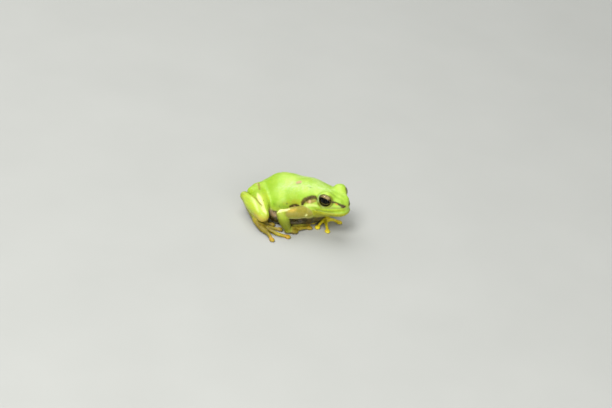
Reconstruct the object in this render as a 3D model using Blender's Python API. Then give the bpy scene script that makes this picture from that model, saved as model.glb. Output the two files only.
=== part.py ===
"""Japanese tree frog (Dryophytes japonicus), a life-size model of an adult sitting at rest.

The body is modelled whole, as one blended solid, and then parted with thin cuts into head, trunk
and the segments of each limb. The eyeballs are separate spheres in sockets.

Directions: +X to the snout, +Y to the frog's left, +Z up; the floor is z = 0.
Lengths below are in millimetres on a frog of 30 mm from snout to vent; GRAIN turns them into metres.
"""
import math

import bmesh
import bpy
import numpy as np
import openvdb

# ---------------------------------------------------------------- driving dimensions
SNOUT_VENT = 0.030                 # snout to vent, metres
GRAIN = SNOUT_VENT / 30            # metres in one of the units below
CELL = 0.25                        # spacing of the modelling grid
FAR = 9.0                          # distance given to everything away from the body
PART_GAP = 0.3                     # width of the cuts between segments
EYE_GAP = 0.15                     # clearance of an eyeball in its socket
REACH = 19.0                       # half size of the space that is modelled
TALL = 15.0                        # height of that space
BELOW = 1.2                        # depth of that space under the floor
MARGIN = 2.0                       # how far past a form's box its distances are worked out
BALL_SEGMENTS, BALL_RINGS = 20, 10 # facets of the eyeballs and their sockets
SLAB_WIDE, SLAB_THICK = 0.08, 0.01 # the slab that cuts the soles flat, metres

RIGHT, LEFT = -1, 1
SIDE_NAMES = {RIGHT: "right", LEFT: "left"}

# Head: its origin is midway between the eyes, x to the snout, y left, z up.
HEAD_AT = (9.2, 0.0, 10.8)
HEAD_YAW, HEAD_PITCH = -5, 13
EYE_RADIUS = 1.88
EYE_AT = (-0.2, 3.08, 0.08)        # of the left eye; the right one mirrors it
EYE_LOOK = (0.36, 1.0, -0.03)      # which way the left eye looks
LID_SINK = 0.3                     # how far the lids' middle lies behind the eye's
LID_SIZE = (1.85, 2.3, 2.06)      # half sizes of the lids, along the look first

# Lumps that make the head: centre and half sizes, in its axes.
JAW = ((-1.85, 0, -3.65), (5.75, 4.5, 1.15))
CHIN = ((2.0, 0, -3.8), (2.2, 2.75, 1.3))
THROAT = ((-3.2, 0, -4.0), (5.2, 4.4, 1.9))
CROWN = ((-3.0, 0, -1.2), (5.4, 4.6, 2.6))
SNOUT = ((0.75, 0, -1.35), (3.6, 2.95, 1.85))
LIPS = ((-1.65, 0, -2.35), (5.9, 4.75, 1.45))
RIDGE = ((1.0, 2.4, 0.05), (3.2, 1.35, -0.5))     # ends of the ridge from eye to nostril
RIDGE_THICK = (0.7, 0.5)
JAW_BLEND, SKULL_BLEND = 1.0, 1.2  # fillets between the lumps of each
HEAD_BLENDS = (1.2, 0.5, 0.8, 0.7)   # fillets with which jaw, skull, ridges and lids join on

# Lumps that make the trunk: centre, half sizes, yaw and pitch.
TRUNK = dict(
    rump=((-10.8, -1.5, 3.7), (4.0, 3.3, 2.9), 12, 30),
    sacrum=((-7.2, 0.4, 6.1), (5.2, 3.9, 3.75), 8, 24),
    back=((-0.8, 0.6, 7.2), (8.7, 5.3, 3.85), 0, 10),
    flank=((-4.2, -0.1, 4.4), (6.9, 7.0, 4.5), 6, 8),
    belly=((-2.8, -0.9, 1.7), (7.5, 8.3, 2.3), 6, 0),
    chest=((2.2, 0.3, 5.7), (5.9, 5.9, 5.6), 0, 12),
    neck=((5.8, 0.2, 8.2), (4.5, 4.6, 3.3), -3, 10),
)
TRUNK_BLEND = 1.6

# Legs: each joint's place, then the toes from first to fifth as a middle and a tip.
LEGS = {
    RIGHT: dict(hip=(-12.0, -4.2, 4.3), knee=(-3.9, -12.7, 3.9), heel=(-13.0, -8.8, 4.2),
                ankle=(-5.8, -12.6, 1.5), sole=(-2.2, -14.0, 0.8),
                toes=(((-5.4, -11.2, 0.6), (-4.9, -9.6, 0.4)), ((-4.1, -11.3, 0.7), (-2.6, -9.8, 0.4)),
                      ((-2.2, -11.9, 0.7), (0.2, -10.2, 0.4)), ((0.8, -12.8, 0.7), (3.8, -11.5, 0.4)),
                      ((0.1, -14.8, 0.7), (1.7, -15.6, 0.4)))),
    LEFT: dict(hip=(-11.8, 0.6, 3.4), knee=(-4.8, 9.4, 3.0), heel=(-12.6, 5.4, 2.2),
               ankle=(-8.4, 10.4, 1.2), sole=(-3.6, 12.8, 0.8),
               toes=(((-6.6, 9.4, 0.6), (-5.6, 8.0, 0.4)), ((-5.0, 10.0, 0.7), (-2.9, 8.5, 0.4)),
                     ((-3.0, 11.0, 0.7), (0.0, 9.8, 0.4)), ((-0.8, 12.2, 0.7), (3.0, 11.8, 0.4)),
                     ((-1.6, 14.2, 0.7), (0.8, 15.6, 0.4)))),
}
THIGH_ENDS, THIGH_BELLY = (2.2, 1.65), (5.0, 2.2, 2.4)
SHANK_ENDS, SHANK_BELLY = (1.6, 1.15), (4.8, 1.7, 1.9)
TARSUS_THICK = (1.1, 1.0, 0.85)
TARSUS_SAG = 0.2
BELLY_SHARE, MUSCLE_BLEND = 0.44, 0.9   # how far along a segment it swells, and how softly
TOE_THICK = (0.8, 0.62, 0.5, 0.42)
TOE_ROOT, WEB_REACH = 0.25, 0.55   # shares of the sole and of a toe's first stretch
HAUNCH = ((-12.4, -6.2, 4.6), 1.45)  # of the right leg, between thigh and heel
SOLE_SIZE = (3.4, 1.15, 0.75)
DISC_SIZE = (0.8, 0.74, 0.46)      # pad at the tip of each toe and finger
DISC_AHEAD = 0.22                  # how far its middle lies past the end of the bone
TOE_BLEND = 0.35
WEB_THICK = 0.27                   # half thickness of the web between the toes

# Arms: each joint's place, then each finger's heading in degrees and length past the palm.
ARMS = {
    RIGHT: dict(shoulder=(4.6, -4.6, 5.5), elbow=(0.7, -11.0, 5.9), wrist=(2.4, -9.6, 1.15),
                palm=(3.2, -8.2, 0.7), fingers=((116, 2.8), (98, 3.6), (82, 4.8), (64, 4.0))),
    LEFT: dict(shoulder=(5.0, 4.6, 5.7), elbow=(2.4, 9.2, 4.4), wrist=(4.7, 4.3, 1.15),
               palm=(5.8, 3.0, 0.75), fingers=((-112, 2.6), (-78, 3.6), (-47, 4.6), (27, 2.9))),
}
UPPER_ARM_ENDS, UPPER_ARM_BELLY = (1.6, 1.2), (3.0, 1.4, 1.45)
FOREARM_ENDS, FOREARM_BELLY = (1.25, 0.95), (2.6, 1.3, 1.3)
PALM_SIZE = (1.6, 1.5, 0.75)
FINGER_THICK = (0.7, 0.52, 0.42, 0.38)
KNUCKLE, FINGER_ROOT = 1.0, 0.6    # past the palm's middle, and share of the way to it
FINGER_ARCH, TIP_HEIGHT = 0.25, 0.4
HAND_HEEL_THICK = (0.95, 0.8)

# How far each limb segment runs into what it grows from.
LIMB_BLENDS = dict(thigh=1.5, shank=0.2, tarsus=0.2, foot=0.3, upper_arm=0.9, forearm=0.2, hand=0.3)

# The head is everything inside this envelope, given in the head's axes, that isn't a limb.
HEAD_ENVELOPE_AT = (1.2, 0.0, -0.2)
HEAD_ENVELOPE = (7.6, 9.0, 5.6)

# Most triangles in each kind of node, before the soles are cut flat.
TRIANGLES = dict(head=2000, trunk=1300, upper_arm=220, forearm=220, hand=560,
                 thigh=340, shank=260, tarsus=200, foot=660)

LEAF_GREEN, LEG_GREEN, TOE_TAN = (0.36, 0.62, 0.045), (0.42, 0.60, 0.07), (0.62, 0.36, 0.08)
SKIN_COLOURS = dict(head=LEAF_GREEN, trunk=LEAF_GREEN, upper_arm=LEG_GREEN, forearm=LEG_GREEN, hand=TOE_TAN,
                    thigh=LEG_GREEN, shank=LEG_GREEN, tarsus=LEG_GREEN, foot=TOE_TAN)
SKIN_ROUGHNESS = 0.42
EYE_BRONZE, EYE_ROUGHNESS = (0.20, 0.12, 0.04), 0.08


# ---------------------------------------------------------------- distances
class Form:
    """A solid given by its signed distance, negative inside, and by the box that holds it."""

    def __init__(self, low, high, distance):
        self.low = np.array(low, float)
        self.high = np.array(high, float)
        self.distance = distance


def unit(vector):
    vector = np.asarray(vector, float)
    return vector / np.linalg.norm(vector)


def turned(yaw, pitch):
    """Axes of a piece turned left by yaw and nose up by pitch, one a row."""
    yaw, pitch = math.radians(yaw), math.radians(pitch)
    forward = np.array((math.cos(pitch) * math.cos(yaw), math.cos(pitch) * math.sin(yaw), math.sin(pitch)))
    left = np.array((-math.sin(yaw), math.cos(yaw), 0.0))
    return np.array((forward, left, np.cross(forward, left)))


def along(direction):
    """Axes of a piece that lies along a direction, one a row, with its left level."""
    forward = unit(direction)
    left = unit(np.cross((0, 0, 1), forward))
    return np.array((forward, left, np.cross(forward, left)))


def smooth_min(a, b, blend):
    """The lesser of two distances, with a fillet about as wide as blend where they meet."""
    if blend <= 0:
        return np.minimum(a, b)
    overlap = np.maximum(blend - np.abs(a - b), 0) / blend
    return np.minimum(a, b) - overlap * overlap * (blend / 4)


def ellipsoid(centre, radii, axes=None):
    centre, radii = np.array(centre, float), np.array(radii, float)
    axes = np.eye(3) if axes is None else np.asarray(axes)

    def distance(x, y, z):
        near, steep = 0, 0
        for axis, radius in zip(axes, radii):
            off = axis[0] * (x - centre[0]) + axis[1] * (y - centre[1]) + axis[2] * (z - centre[2])
            near = near + (off / radius) ** 2
            steep = steep + (off / radius ** 2) ** 2
        near = np.sqrt(near)
        return near * (near - 1) / (np.sqrt(steep) + 1e-6)

    half = np.sqrt(((axes * radii[:, None]) ** 2).sum(0))
    return Form(centre - half, centre + half, distance)


def tapered_rods(points, radii):
    """Round rods from point to point, each tapering between the radii at its ends."""
    points, radii = np.array(points, float), np.array(radii, float)

    def distance(x, y, z):
        nearest = FAR
        for start, end, thick, thin in zip(points[:-1], points[1:], radii[:-1], radii[1:]):
            run = end - start
            dx, dy, dz = x - start[0], y - start[1], z - start[2]
            t = np.clip((dx * run[0] + dy * run[1] + dz * run[2]) / (run @ run), 0, 1)
            off = np.sqrt((dx - t * run[0]) ** 2 + (dy - t * run[1]) ** 2 + (dz - t * run[2]) ** 2)
            nearest = np.minimum(nearest, off - thick - (thin - thick) * t)
        return nearest

    return Form((points - radii[:, None]).min(0), (points + radii[:, None]).max(0), distance)


def limb(points, radii, steps=5):
    """A tapering tube on the smooth curve through the points."""
    knots = np.column_stack((np.array(points, float), radii))
    knots = np.vstack((2 * knots[0] - knots[1], knots, 2 * knots[-1] - knots[-2]))
    route = []
    for i in range(1, len(knots) - 2):
        for t in np.arange(steps) / steps:
            weights = np.array((-t + 2 * t ** 2 - t ** 3, 2 - 5 * t ** 2 + 3 * t ** 3,
                                t + 4 * t ** 2 - 3 * t ** 3, -t ** 2 + t ** 3)) / 2
            route.append(weights @ knots[i - 1:i + 3])
    route = np.array(route + [knots[-2]])
    return tapered_rods(route[:, :3], route[:, 3])


def web(a, b, c, half_thickness):
    """A thin triangle with round edges, for the skin between two toes."""
    corners = np.array((a, b, c), float)
    normal = unit(np.cross(corners[1] - corners[0], corners[2] - corners[0]))

    def distance(x, y, z):
        edge_distance, inside = FAR ** 2, True
        for start, end in zip(corners, np.roll(corners, -1, axis=0)):
            run = end - start
            dx, dy, dz = x - start[0], y - start[1], z - start[2]
            t = np.clip((dx * run[0] + dy * run[1] + dz * run[2]) / (run @ run), 0, 1)
            off = (dx - t * run[0]) ** 2 + (dy - t * run[1]) ** 2 + (dz - t * run[2]) ** 2
            edge_distance = np.minimum(edge_distance, off)
            inward = np.cross(normal, run)
            inside = inside & (dx * inward[0] + dy * inward[1] + dz * inward[2] > 0)
        flat = np.abs((x - a[0]) * normal[0] + (y - a[1]) * normal[1] + (z - a[2]) * normal[2])
        return np.where(inside, flat, np.sqrt(edge_distance)) - half_thickness

    return Form(corners.min(0) - half_thickness, corners.max(0) + half_thickness, distance)


def joined(forms, blend):
    """Several forms run together."""

    def distance(x, y, z):
        total = forms[0].distance(x, y, z)
        for form in forms[1:]:
            total = smooth_min(total, form.distance(x, y, z), blend)
        return total

    return Form(np.min([f.low for f in forms], 0), np.max([f.high for f in forms], 0), distance)


# ---------------------------------------------------------------- the frog's forms
HEAD_AXES = turned(HEAD_YAW, HEAD_PITCH)


def on_head(x, y, z):
    """A point given in the head's axes, as a place on the frog."""
    return np.array(HEAD_AT) + HEAD_AXES.T @ np.array((x, y, z))


def head_forms():
    """(form, blend) for the jaw, the skull, the ridges from eye to nostril and the lids."""

    def lump(place, half_sizes):
        return ellipsoid(on_head(*place), half_sizes, HEAD_AXES)

    jaw = joined((lump(*JAW), lump(*CHIN), lump(*THROAT)), JAW_BLEND)
    skull = joined((lump(*CROWN), lump(*SNOUT), lump(*LIPS)), SKULL_BLEND)
    ridges, lids = [], []
    for side in (RIGHT, LEFT):
        mirror = np.array((1, side, 1))
        ridges.append(tapered_rods([on_head(*(end * mirror)) for end in np.array(RIDGE)], RIDGE_THICK))
        look = unit(np.array(EYE_LOOK) * mirror)
        lid_middle = on_head(*(EYE_AT * mirror - look * LID_SINK))
        lids.append(ellipsoid(lid_middle, LID_SIZE, along(HEAD_AXES.T @ look)))
    return tuple(zip((jaw, skull, joined(ridges, 0), joined(lids, 0)), HEAD_BLENDS))


def trunk_form():
    lumps = [ellipsoid(centre, half_sizes, turned(yaw, pitch))
             for centre, half_sizes, yaw, pitch in TRUNK.values()]
    return joined(lumps, TRUNK_BLEND)


def disc(tip, heading):
    return ellipsoid(tip, DISC_SIZE, along((heading[0], heading[1], 0)))


def muscle(start, end, ends, belly):
    """A limb segment: a tapering rod with a fuller stretch part of the way along."""
    middle = start + (end - start) * BELLY_SHARE
    rod, swelling = tapered_rods((start, end), ends), ellipsoid(middle, belly, along(end - start))
    return joined((rod, swelling), MUSCLE_BLEND)


def leg_forms(side):
    joints = {name: np.array(place) for name, place in LEGS[side].items() if name != "toes"}
    hip, knee, heel, ankle, sole = (joints[name] for name in ("hip", "knee", "heel", "ankle", "sole"))
    root = ankle + (sole - ankle) * TOE_ROOT
    toes, web_ends = [], []
    for middle, tip in LEGS[side]["toes"]:
        middle, tip = np.array(middle), np.array(tip)
        toes.append(limb((ankle, root, middle, tip), TOE_THICK))
        toes.append(disc(tip + unit(tip - middle) * DISC_AHEAD, tip - middle))
        web_ends.append(root + (middle - root) * WEB_REACH)
    webs = [web(root, one, other, WEB_THICK) for one, other in zip(web_ends[:-1], web_ends[1:])]
    pad = ellipsoid((ankle + sole) / 2, SOLE_SIZE, along(sole - ankle))
    thigh = [muscle(hip, knee, THIGH_ENDS, THIGH_BELLY)]
    if side == RIGHT:
        place, radius = HAUNCH
        thigh.append(ellipsoid(place, (radius,) * 3))
    return dict(
        thigh=joined(thigh, MUSCLE_BLEND),
        shank=muscle(knee, heel, SHANK_ENDS, SHANK_BELLY),
        tarsus=limb((heel, (heel + ankle) / 2 - (0, 0, TARSUS_SAG), ankle), TARSUS_THICK),
        foot=joined([pad] + toes + webs, TOE_BLEND),
    )


def arm_forms(side):
    joints = {name: np.array(place) for name, place in ARMS[side].items() if name != "fingers"}
    shoulder, elbow, wrist, palm = (joints[name] for name in ("shoulder", "elbow", "wrist", "palm"))
    fingers = []
    for heading, length in ARMS[side]["fingers"]:
        way = np.array((math.cos(math.radians(heading)), math.sin(math.radians(heading)), 0))
        knuckle = palm + way * KNUCKLE
        tip = knuckle + way * length
        tip[2] = TIP_HEIGHT
        arch = (knuckle + tip) / 2 + (0, 0, FINGER_ARCH)
        fingers.append(limb((wrist + (palm - wrist) * FINGER_ROOT, knuckle, arch, tip), FINGER_THICK))
        fingers.append(disc(tip + way * DISC_AHEAD, way))
    heel_of_hand = tapered_rods((wrist, palm), HAND_HEEL_THICK)
    return dict(
        upper_arm=muscle(shoulder, elbow, UPPER_ARM_ENDS, UPPER_ARM_BELLY),
        forearm=muscle(elbow, wrist, FOREARM_ENDS, FOREARM_BELLY),
        hand=joined([ellipsoid(palm, PALM_SIZE, along(palm - wrist)), heel_of_hand] + fingers, TOE_BLEND),
    )


# ---------------------------------------------------------------- modelling grid
class Grid:
    """Distances on an even grid, with windows round each form to keep the work small."""

    def __init__(self):
        self.low = np.array((-REACH, -REACH, -BELOW))
        ends = np.array((REACH, REACH, TALL))
        self.axes = [np.arange(a, b, CELL, dtype=np.float32) for a, b in zip(self.low, ends)]

    def blank(self):
        return np.full([len(axis) for axis in self.axes], FAR, np.float32)

    def everywhere(self):
        return self.axes[0][:, None, None], self.axes[1][None, :, None], self.axes[2][None, None, :]

    def window(self, form):
        """The slices that hold a form, and the x, y and z there."""
        cuts = []
        for axis, low, high in zip(self.axes, form.low - MARGIN, form.high + MARGIN):
            first, last = np.searchsorted(axis, (low, high))
            cuts.append(slice(max(int(first) - 1, 0), int(last) + 1))
        x, y, z = (axis[cut] for axis, cut in zip(self.axes, cuts))
        return tuple(cuts), (x[:, None, None], y[None, :, None], z[None, None, :])

    def add(self, field, form, blend):
        cuts, place = self.window(form)
        field[cuts] = smooth_min(field[cuts], form.distance(*place).astype(np.float32), blend)

    def halve(self, before, after, joint, normal):
        """Ends one segment's field, and starts the next one's, at the plane that halves their joint."""
        x, y, z = self.everywhere()
        past = (x - joint[0]) * normal[0] + (y - joint[1]) * normal[1] + (z - joint[2]) * normal[2]
        np.maximum(before, past, out=before)
        np.maximum(after, -past, out=after)

    def mesh(self, field):
        """Points and four-sided faces of the surface where the field is zero."""
        volume = openvdb.FloatGrid(FAR)
        volume.copyFromArray(field)
        points, faces = volume.convertToQuads(0.0)
        return (points * CELL + self.low) * GRAIN, faces


def model():
    """The whole body's field, and the own field of each limb segment and of the axis (head and trunk)."""
    grid = Grid()
    body, own = grid.blank(), {"axis": grid.blank()}
    for form, blend in ((trunk_form(), 0), *head_forms()):
        grid.add(own["axis"], form, 0)
        grid.add(body, form, blend)
    for side in (RIGHT, LEFT):
        for kind, form in {**leg_forms(side), **arm_forms(side)}.items():
            name = f"{kind}_{SIDE_NAMES[side]}"
            own[name] = grid.blank()
            grid.add(own[name], form, 0)
            grid.add(body, form, LIMB_BLENDS[kind])
        halve_joints(grid, own, side, ("thigh", "shank", "tarsus", "foot"), LEGS[side])
        halve_joints(grid, own, side, ("upper_arm", "forearm", "hand"), ARMS[side])
    return grid, body, own


def halve_joints(grid, own, side, chain, places):
    """Divides neighbouring segments of a limb at each joint between them."""
    route = [np.array(place) for name, place in places.items() if name not in ("toes", "fingers")]
    names = [f"{kind}_{SIDE_NAMES[side]}" for kind in chain]
    for i, (before, after) in enumerate(zip(names[:-1], names[1:])):
        fore, joint, aft = route[i:i + 3]
        grid.halve(own[before], own[after], joint, unit(unit(joint - fore) + unit(aft - joint)))


def segment_fields(grid, body, own):
    """Each segment takes what is nearest to it, less half a cut along its borders."""
    envelope = ellipsoid(on_head(*HEAD_ENVELOPE_AT), HEAD_ENVELOPE, HEAD_AXES)
    past_neck = envelope.distance(*grid.everywhere()).astype(np.float32)
    for name, field in own.items():
        others = np.minimum.reduce([other for key, other in own.items() if key != name])
        share = np.maximum(body, field - others + PART_GAP)
        if name == "axis":
            yield "head", np.maximum(share, past_neck + PART_GAP / 2)
            yield "trunk", np.maximum(share, PART_GAP / 2 - past_neck)
        else:
            yield name, share


# ---------------------------------------------------------------- Blender objects
def clear_scene():
    for existing in list(bpy.data.objects):
        bpy.data.objects.remove(existing, do_unlink=True)


def new_collection(name):
    collection = bpy.data.collections.new(name)
    bpy.context.scene.collection.children.link(collection)
    return collection


def material(name, colour, roughness):
    made = bpy.data.materials.new(name)
    made.use_nodes = True
    shader = made.node_tree.nodes["Principled BSDF"]
    shader.inputs["Base Color"].default_value = (*colour, 1.0)
    shader.inputs["Roughness"].default_value = roughness
    shader.inputs["Metallic"].default_value = 0.0
    made.diffuse_color = (*colour, 1.0)
    return made


def kind_of(name):
    """A node's name without its side."""
    return name.removesuffix("_right").removesuffix("_left")


def largest_piece(bm):
    """Removes all but the piece with the most points."""
    unseen, pieces = set(bm.verts), []
    while unseen:
        piece, edge_of_search = set(), [unseen.pop()]
        while edge_of_search:
            vertex = edge_of_search.pop()
            piece.add(vertex)
            for edge in vertex.link_edges:
                other = edge.other_vert(vertex)
                if other in unseen:
                    unseen.remove(other)
                    edge_of_search.append(other)
        pieces.append(piece)
    keep = max(pieces, key=len)
    bmesh.ops.delete(bm, geom=[v for v in bm.verts if v not in keep], context="VERTS")


def segment(name, grid, field, collection, finish, sockets=()):
    """A segment's mesh, less any sockets, and brought to its share of triangles by a Decimate modifier."""
    points, faces = grid.mesh(field)
    mesh = bpy.data.meshes.new(name)
    mesh.from_pydata(points.tolist(), [], faces.tolist())
    bm = bmesh.new()
    bm.from_mesh(mesh)
    largest_piece(bm)
    if bm.calc_volume(signed=True) < 0:
        bmesh.ops.reverse_faces(bm, faces=bm.faces)
    bmesh.ops.triangulate(bm, faces=bm.faces)
    triangles = len(bm.faces)
    bm.to_mesh(mesh)
    bm.free()
    mesh.shade_smooth()
    mesh.materials.append(finish)
    made = bpy.data.objects.new(name, mesh)
    collection.objects.link(made)
    for socket in sockets:
        cut(made, socket)
    fewer = made.modifiers.new("Decimate", "DECIMATE")
    fewer.ratio = min(1.0, TRIANGLES[kind_of(name)] / triangles)
    return made


def ball(name, centre, radius, collection):
    bpy.ops.mesh.primitive_uv_sphere_add(segments=BALL_SEGMENTS, ring_count=BALL_RINGS,
                                         radius=radius, location=centre)
    made = bpy.context.object
    made.name = name
    made.data.shade_smooth()
    for linked in list(made.users_collection):
        linked.objects.unlink(made)
    collection.objects.link(made)
    return made


def as_cutter(tool):
    tool.hide_render = True
    tool.display_type = "WIRE"


def cut(target, cutter):
    """A Boolean difference, by Blender's exact solver."""
    modifier = target.modifiers.new(cutter.name, "BOOLEAN")
    modifier.operation = "DIFFERENCE"
    modifier.solver = "EXACT"
    modifier.object = cutter


def floor_cutter(collection):
    """A slab under the floor, which cuts the soles, pads and belly flat at z = 0."""
    bpy.ops.mesh.primitive_cube_add(size=1, location=(0, 0, -SLAB_THICK / 2))
    slab = bpy.context.object
    slab.name = "floor_cut"
    slab.dimensions = (SLAB_WIDE, SLAB_WIDE, SLAB_THICK)
    bpy.ops.object.transform_apply(location=False, rotation=False, scale=True)
    for linked in list(slab.users_collection):
        linked.objects.unlink(slab)
    collection.objects.link(slab)
    as_cutter(slab)
    return slab


def centre_on_origin(parts, cutters):
    """Hangs everything on one empty, and moves that so the frog's box stands centred on the origin."""
    stand = bpy.data.objects.new("frog_origin", None)
    parts.objects.link(stand)
    for made in (*parts.objects, *cutters.objects):
        if made != stand:
            made.parent = stand
    bpy.context.view_layer.update()
    evaluated = bpy.context.evaluated_depsgraph_get()
    corners = []
    for made in parts.objects:
        if made.type == "MESH":
            mesh = made.evaluated_get(evaluated).to_mesh()
            corners += [made.matrix_world @ vertex.co for vertex in mesh.vertices]
    corners = np.array(corners)
    middle = (corners.min(0) + corners.max(0)) / 2
    stand.location = (-middle[0], -middle[1], 0)


def build():
    clear_scene()
    parts = new_collection("tree_frog")
    cutters = new_collection("cutters")
    finishes = {}
    for kind, colour in SKIN_COLOURS.items():
        finishes[kind] = material(f"{kind}_skin", colour, SKIN_ROUGHNESS)

    sockets = []
    eye_finish = material("eye", EYE_BRONZE, EYE_ROUGHNESS)
    for side in (RIGHT, LEFT):
        centre = on_head(EYE_AT[0], side * EYE_AT[1], EYE_AT[2]) * GRAIN
        eye = ball(f"eye_{SIDE_NAMES[side]}", centre, EYE_RADIUS * GRAIN, parts)
        eye.data.materials.append(eye_finish)
        socket = ball(f"socket_{SIDE_NAMES[side]}", centre, (EYE_RADIUS + EYE_GAP) * GRAIN, cutters)
        as_cutter(socket)
        sockets.append(socket)

    ground = floor_cutter(cutters)
    grid, body, own = model()
    for name, field in segment_fields(grid, body, own):
        made = segment(name, grid, field, parts, finishes[kind_of(name)], sockets if name == "head" else ())
        if min(vertex.co.z for vertex in made.data.vertices) < 0:
            cut(made, ground)
    centre_on_origin(parts, cutters)


build()
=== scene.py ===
"""A Japanese tree frog sitting at rest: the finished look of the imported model.

One skin covers all the nodes of flesh. It is modelled as the solids are, as one signed distance form, on a
finer grid, with lids, nostrils, folds and pads added. The eyeballs stay separate and get clear corneas.

Lengths are in millimetres in the frog's own frame (+X snout, +Y its left, +Z up) until a mesh is made;
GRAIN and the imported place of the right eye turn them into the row's frame.
"""
import itertools
import math
from collections import namedtuple

import bmesh
import bpy
import numpy as np
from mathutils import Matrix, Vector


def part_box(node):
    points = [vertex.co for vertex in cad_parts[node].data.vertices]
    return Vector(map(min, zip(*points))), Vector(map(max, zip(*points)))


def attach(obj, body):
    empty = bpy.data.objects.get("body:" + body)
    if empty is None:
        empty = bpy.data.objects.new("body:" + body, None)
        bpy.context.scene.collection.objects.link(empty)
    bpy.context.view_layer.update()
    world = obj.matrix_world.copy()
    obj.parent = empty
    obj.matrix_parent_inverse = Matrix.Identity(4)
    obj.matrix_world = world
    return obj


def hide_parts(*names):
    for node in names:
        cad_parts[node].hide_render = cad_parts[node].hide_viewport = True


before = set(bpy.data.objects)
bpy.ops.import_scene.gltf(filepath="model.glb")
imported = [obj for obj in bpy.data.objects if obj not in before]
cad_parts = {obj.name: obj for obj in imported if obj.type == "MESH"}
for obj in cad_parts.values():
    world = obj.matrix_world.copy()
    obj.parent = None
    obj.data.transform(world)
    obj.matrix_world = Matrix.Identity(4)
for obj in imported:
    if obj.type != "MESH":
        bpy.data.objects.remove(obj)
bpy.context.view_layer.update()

import openvdb
from mathutils import Matrix, Vector

GRAIN = 0.001                      # metres in a millimetre
CELL = 0.125
FAR, TINY = 9.0, 1e-6
REACH, TALL, BELOW = 19.0, 15.0, 1.2    # how far the grid goes sideways, up and down
ADD_ROOM, CARVE_ROOM = 2, 1        # how far round a form the grid is worked over
RIGHT, LEFT = BOTH = -1, 1
SIDE_NAMES = {RIGHT: "right", LEFT: "left"}

# ---- the solids' own dimensions
HEAD_AT = (9.2, 0.0, 10.8)
HEAD_YAW, HEAD_PITCH = -5, 13
EYE_RADIUS = 1.88
EYE_AT = (-0.2, 3.08, 0.08)
EYE_LOOK = (0.36, 1.0, -0.03)
LID_SINK, LID_SIZE = 0.3, (1.85, 2.3, 2.06)

JAW = ((-1.85, 0, -3.65), (5.75, 4.5, 1.15))
CHIN = ((2.0, 0, -3.8), (2.2, 2.75, 1.3))
THROAT = ((-3.2, 0, -4.0), (5.2, 4.4, 1.9))
CROWN = ((-3.0, 0, -1.2), (5.4, 4.6, 2.6))
SNOUT = ((0.75, 0, -1.35), (3.6, 2.95, 1.85))
LIPS = ((-1.65, 0, -2.35), (5.9, 4.75, 1.45))
RIDGE, RIDGE_THICK = ((1.0, 2.4, 0.05), (3.2, 1.35, -0.5)), (0.7, 0.5)
JAW_BLEND, SKULL_BLEND = 1.0, 1.2
HEAD_BLENDS = (1.2, 0.5, 0.8, 0.7)

TRUNK = dict(
    rump=((-10.8, -1.5, 3.7), (4.0, 3.3, 2.9), 12, 30),
    sacrum=((-7.2, 0.4, 6.1), (5.2, 3.9, 3.75), 8, 24),
    back=((-0.8, 0.6, 7.2), (8.7, 5.3, 3.85), 0, 10),
    flank=((-4.2, -0.1, 4.4), (6.9, 7.0, 4.5), 6, 8),
    belly=((-2.8, -0.9, 1.7), (7.5, 8.3, 2.3), 6, 0),
    chest=((2.2, 0.3, 5.7), (5.9, 5.9, 5.6), 0, 12),
    neck=((5.8, 0.2, 8.2), (4.5, 4.6, 3.3), -3, 10),
)
TRUNK_BLEND = 1.6

LEGS = {
    RIGHT: dict(
        hip=(-12.0, -4.2, 4.3), knee=(-3.9, -12.7, 3.9), heel=(-13.0, -8.8, 4.2),
        ankle=(-5.8, -12.6, 1.5), sole=(-2.2, -14.0, 0.8),
        toes=(((-5.4, -11.2, 0.6), (-4.9, -9.6, 0.4)), ((-4.1, -11.3, 0.7), (-2.6, -9.8, 0.4)),
              ((-2.2, -11.9, 0.7), (0.2, -10.2, 0.4)), ((0.8, -12.8, 0.7), (3.8, -11.5, 0.4)),
              ((0.1, -14.8, 0.7), (1.7, -15.6, 0.4)))),
    LEFT: dict(
        hip=(-11.8, 0.6, 3.4), knee=(-4.8, 9.4, 3.0), heel=(-12.6, 5.4, 2.2),
        ankle=(-8.4, 10.4, 1.2), sole=(-3.6, 12.8, 0.8),
        toes=(((-6.6, 9.4, 0.6), (-5.6, 8.0, 0.4)), ((-5.0, 10.0, 0.7), (-2.9, 8.5, 0.4)),
              ((-3.0, 11.0, 0.7), (0.0, 9.8, 0.4)), ((-0.8, 12.2, 0.7), (3.0, 11.8, 0.4)),
              ((-1.6, 14.2, 0.7), (0.8, 15.6, 0.4)))),
}
THIGH_ENDS, THIGH_BELLY = (2.2, 1.65), (5.0, 2.2, 2.4)
SHANK_ENDS, SHANK_BELLY = (1.6, 1.15), (4.8, 1.7, 1.9)
TARSUS_THICK = (1.1, 1.0, 0.85)
TOE_THICK = (0.8, 0.62, 0.5, 0.42)
HAUNCH = ((-12.4, -6.2, 4.6), 1.45)  # of the right leg, between thigh and heel
SOLE_SIZE = (3.4, 1.15, 0.75)
DISC_SIZE = (0.8, 0.74, 0.46)
WEB_THICK = 0.16                   # thinner than the solids' web

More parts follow.
